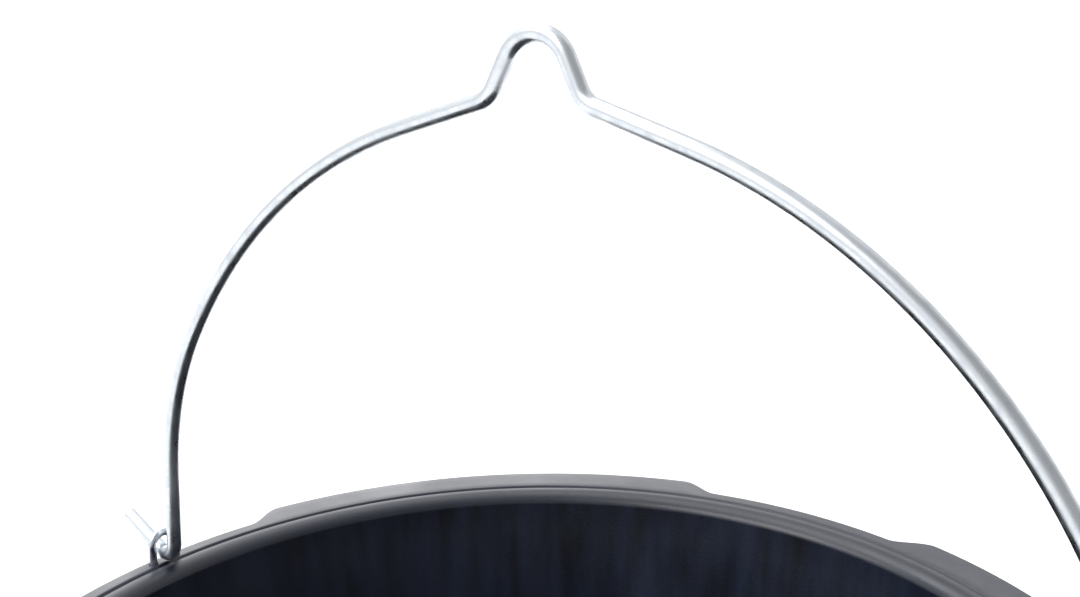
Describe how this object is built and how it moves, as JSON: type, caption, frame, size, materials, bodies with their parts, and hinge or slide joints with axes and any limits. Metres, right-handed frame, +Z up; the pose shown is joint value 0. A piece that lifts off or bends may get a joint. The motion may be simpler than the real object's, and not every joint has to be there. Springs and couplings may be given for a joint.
{
  "type": "builder's tub",
  "caption": "Round tapered plastic tub with a rim flange that widens into grip lobes, and a humped wire bail hooked through wire staples.",
  "frame": {"origin": "centre of the base's underside", "axes": "+Z up, the bail's hinge runs along X, +Y is the side that the standing bail leans towards"},
  "size_m": [0.4408, 0.4006, 0.5117],
  "materials": {
    "tub_plastic": "moulded black polyethylene with a soft satin surface",
    "bail_steel": "bright zinc-coated drawn steel wire",
    "eyelet_steel": "bright zinc-coated thin steel wire"
  },
  "bodies": {
    "tub": {"tub_body": "tub_plastic", "eyelet_left": "eyelet_steel", "eyelet_right": "eyelet_steel"},
    "bail": {"bail": "bail_steel"}
  },
  "joints": [
    {"name": "bail_swing", "type": "hinge", "parent": "tub", "child": "bail", "pos_m": [0, 0, 0.29229], "axis": [1, 0, 0], "range_deg": [-77.3, 85.7]}
  ]
}
